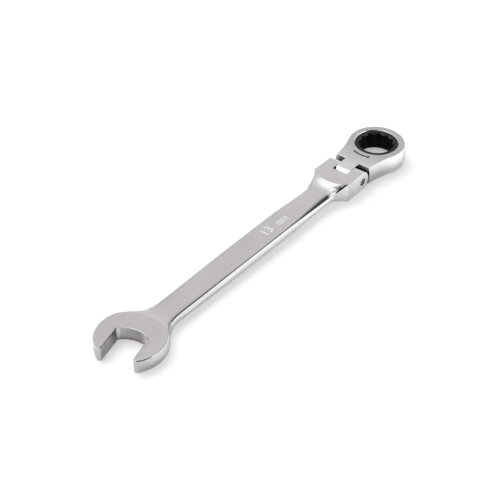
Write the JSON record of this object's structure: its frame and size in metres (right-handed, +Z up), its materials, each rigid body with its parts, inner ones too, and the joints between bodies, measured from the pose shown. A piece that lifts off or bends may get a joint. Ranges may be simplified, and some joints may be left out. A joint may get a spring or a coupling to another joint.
{
  "type": "ratchet wrench",
  "caption": "Flat combination wrench with an open end at one end and, on a hinged flex head at the other, a ratcheting twelve-point box end.",
  "frame": {"origin": "centre of the bounding box, at its base, with the tool lying flat and the head straight", "axes": "+X along the handle from the open end to the ratchet head, +Z up through the socket, away from the side with the retaining ring"},
  "size_m": [0.1798, 0.027, 0.0087],
  "materials": {
    "handle": "satin chrome plate, polished edges",
    "hinge_pin": "ground steel",
    "detent_ball": "polished steel",
    "detent_spring": "drawn spring wire",
    "ratchet_head": "satin chrome plate, polished sides",
    "drive_gear": "black oxide",
    "pawl": "hardened steel",
    "retaining_ring": "spring steel",
    "pawl_spring": "drawn spring wire"
  },
  "bodies": {
    "handle": {"handle": "handle", "hinge_pin": "hinge_pin", "detent_spring": "detent_spring"},
    "ratchet_head": {"ratchet_head": "ratchet_head", "retaining_ring": "retaining_ring", "pawl_spring": "pawl_spring"},
    "drive_gear": {"drive_gear": "drive_gear"},
    "pawl": {"pawl": "pawl"},
    "detent_ball": {"detent_ball": "detent_ball"}
  },
  "joints": [
    {"name": "head_flex", "type": "hinge", "parent": "handle", "child": "ratchet_head", "pos_m": [0.05496, 0, 0.00435], "axis": [0, 1, 0], "range_deg": [-90, 90]},
    {"name": "gear_spin", "type": "hinge", "parent": "ratchet_head", "child": "drive_gear", "pos_m": [0.07758, 0, 0.00435], "axis": [0, 0, 1], "continuous": true},
    {"name": "pawl_slide", "type": "slide", "parent": "ratchet_head", "child": "pawl", "axis": [-1, 0, 0], "range_m": [0, 0.0007], "stiffness_N_per_m": 400, "springref_m": -0.002, "deforming": ["pawl_spring"]},
    {"name": "ball_slide", "type": "slide", "parent": "handle", "child": "detent_ball", "axis": [-1, 0, 0], "range_m": [0, 0.0003], "stiffness_N_per_m": 400, "springref_m": -0.002, "deforming": ["detent_spring"]}
  ]
}
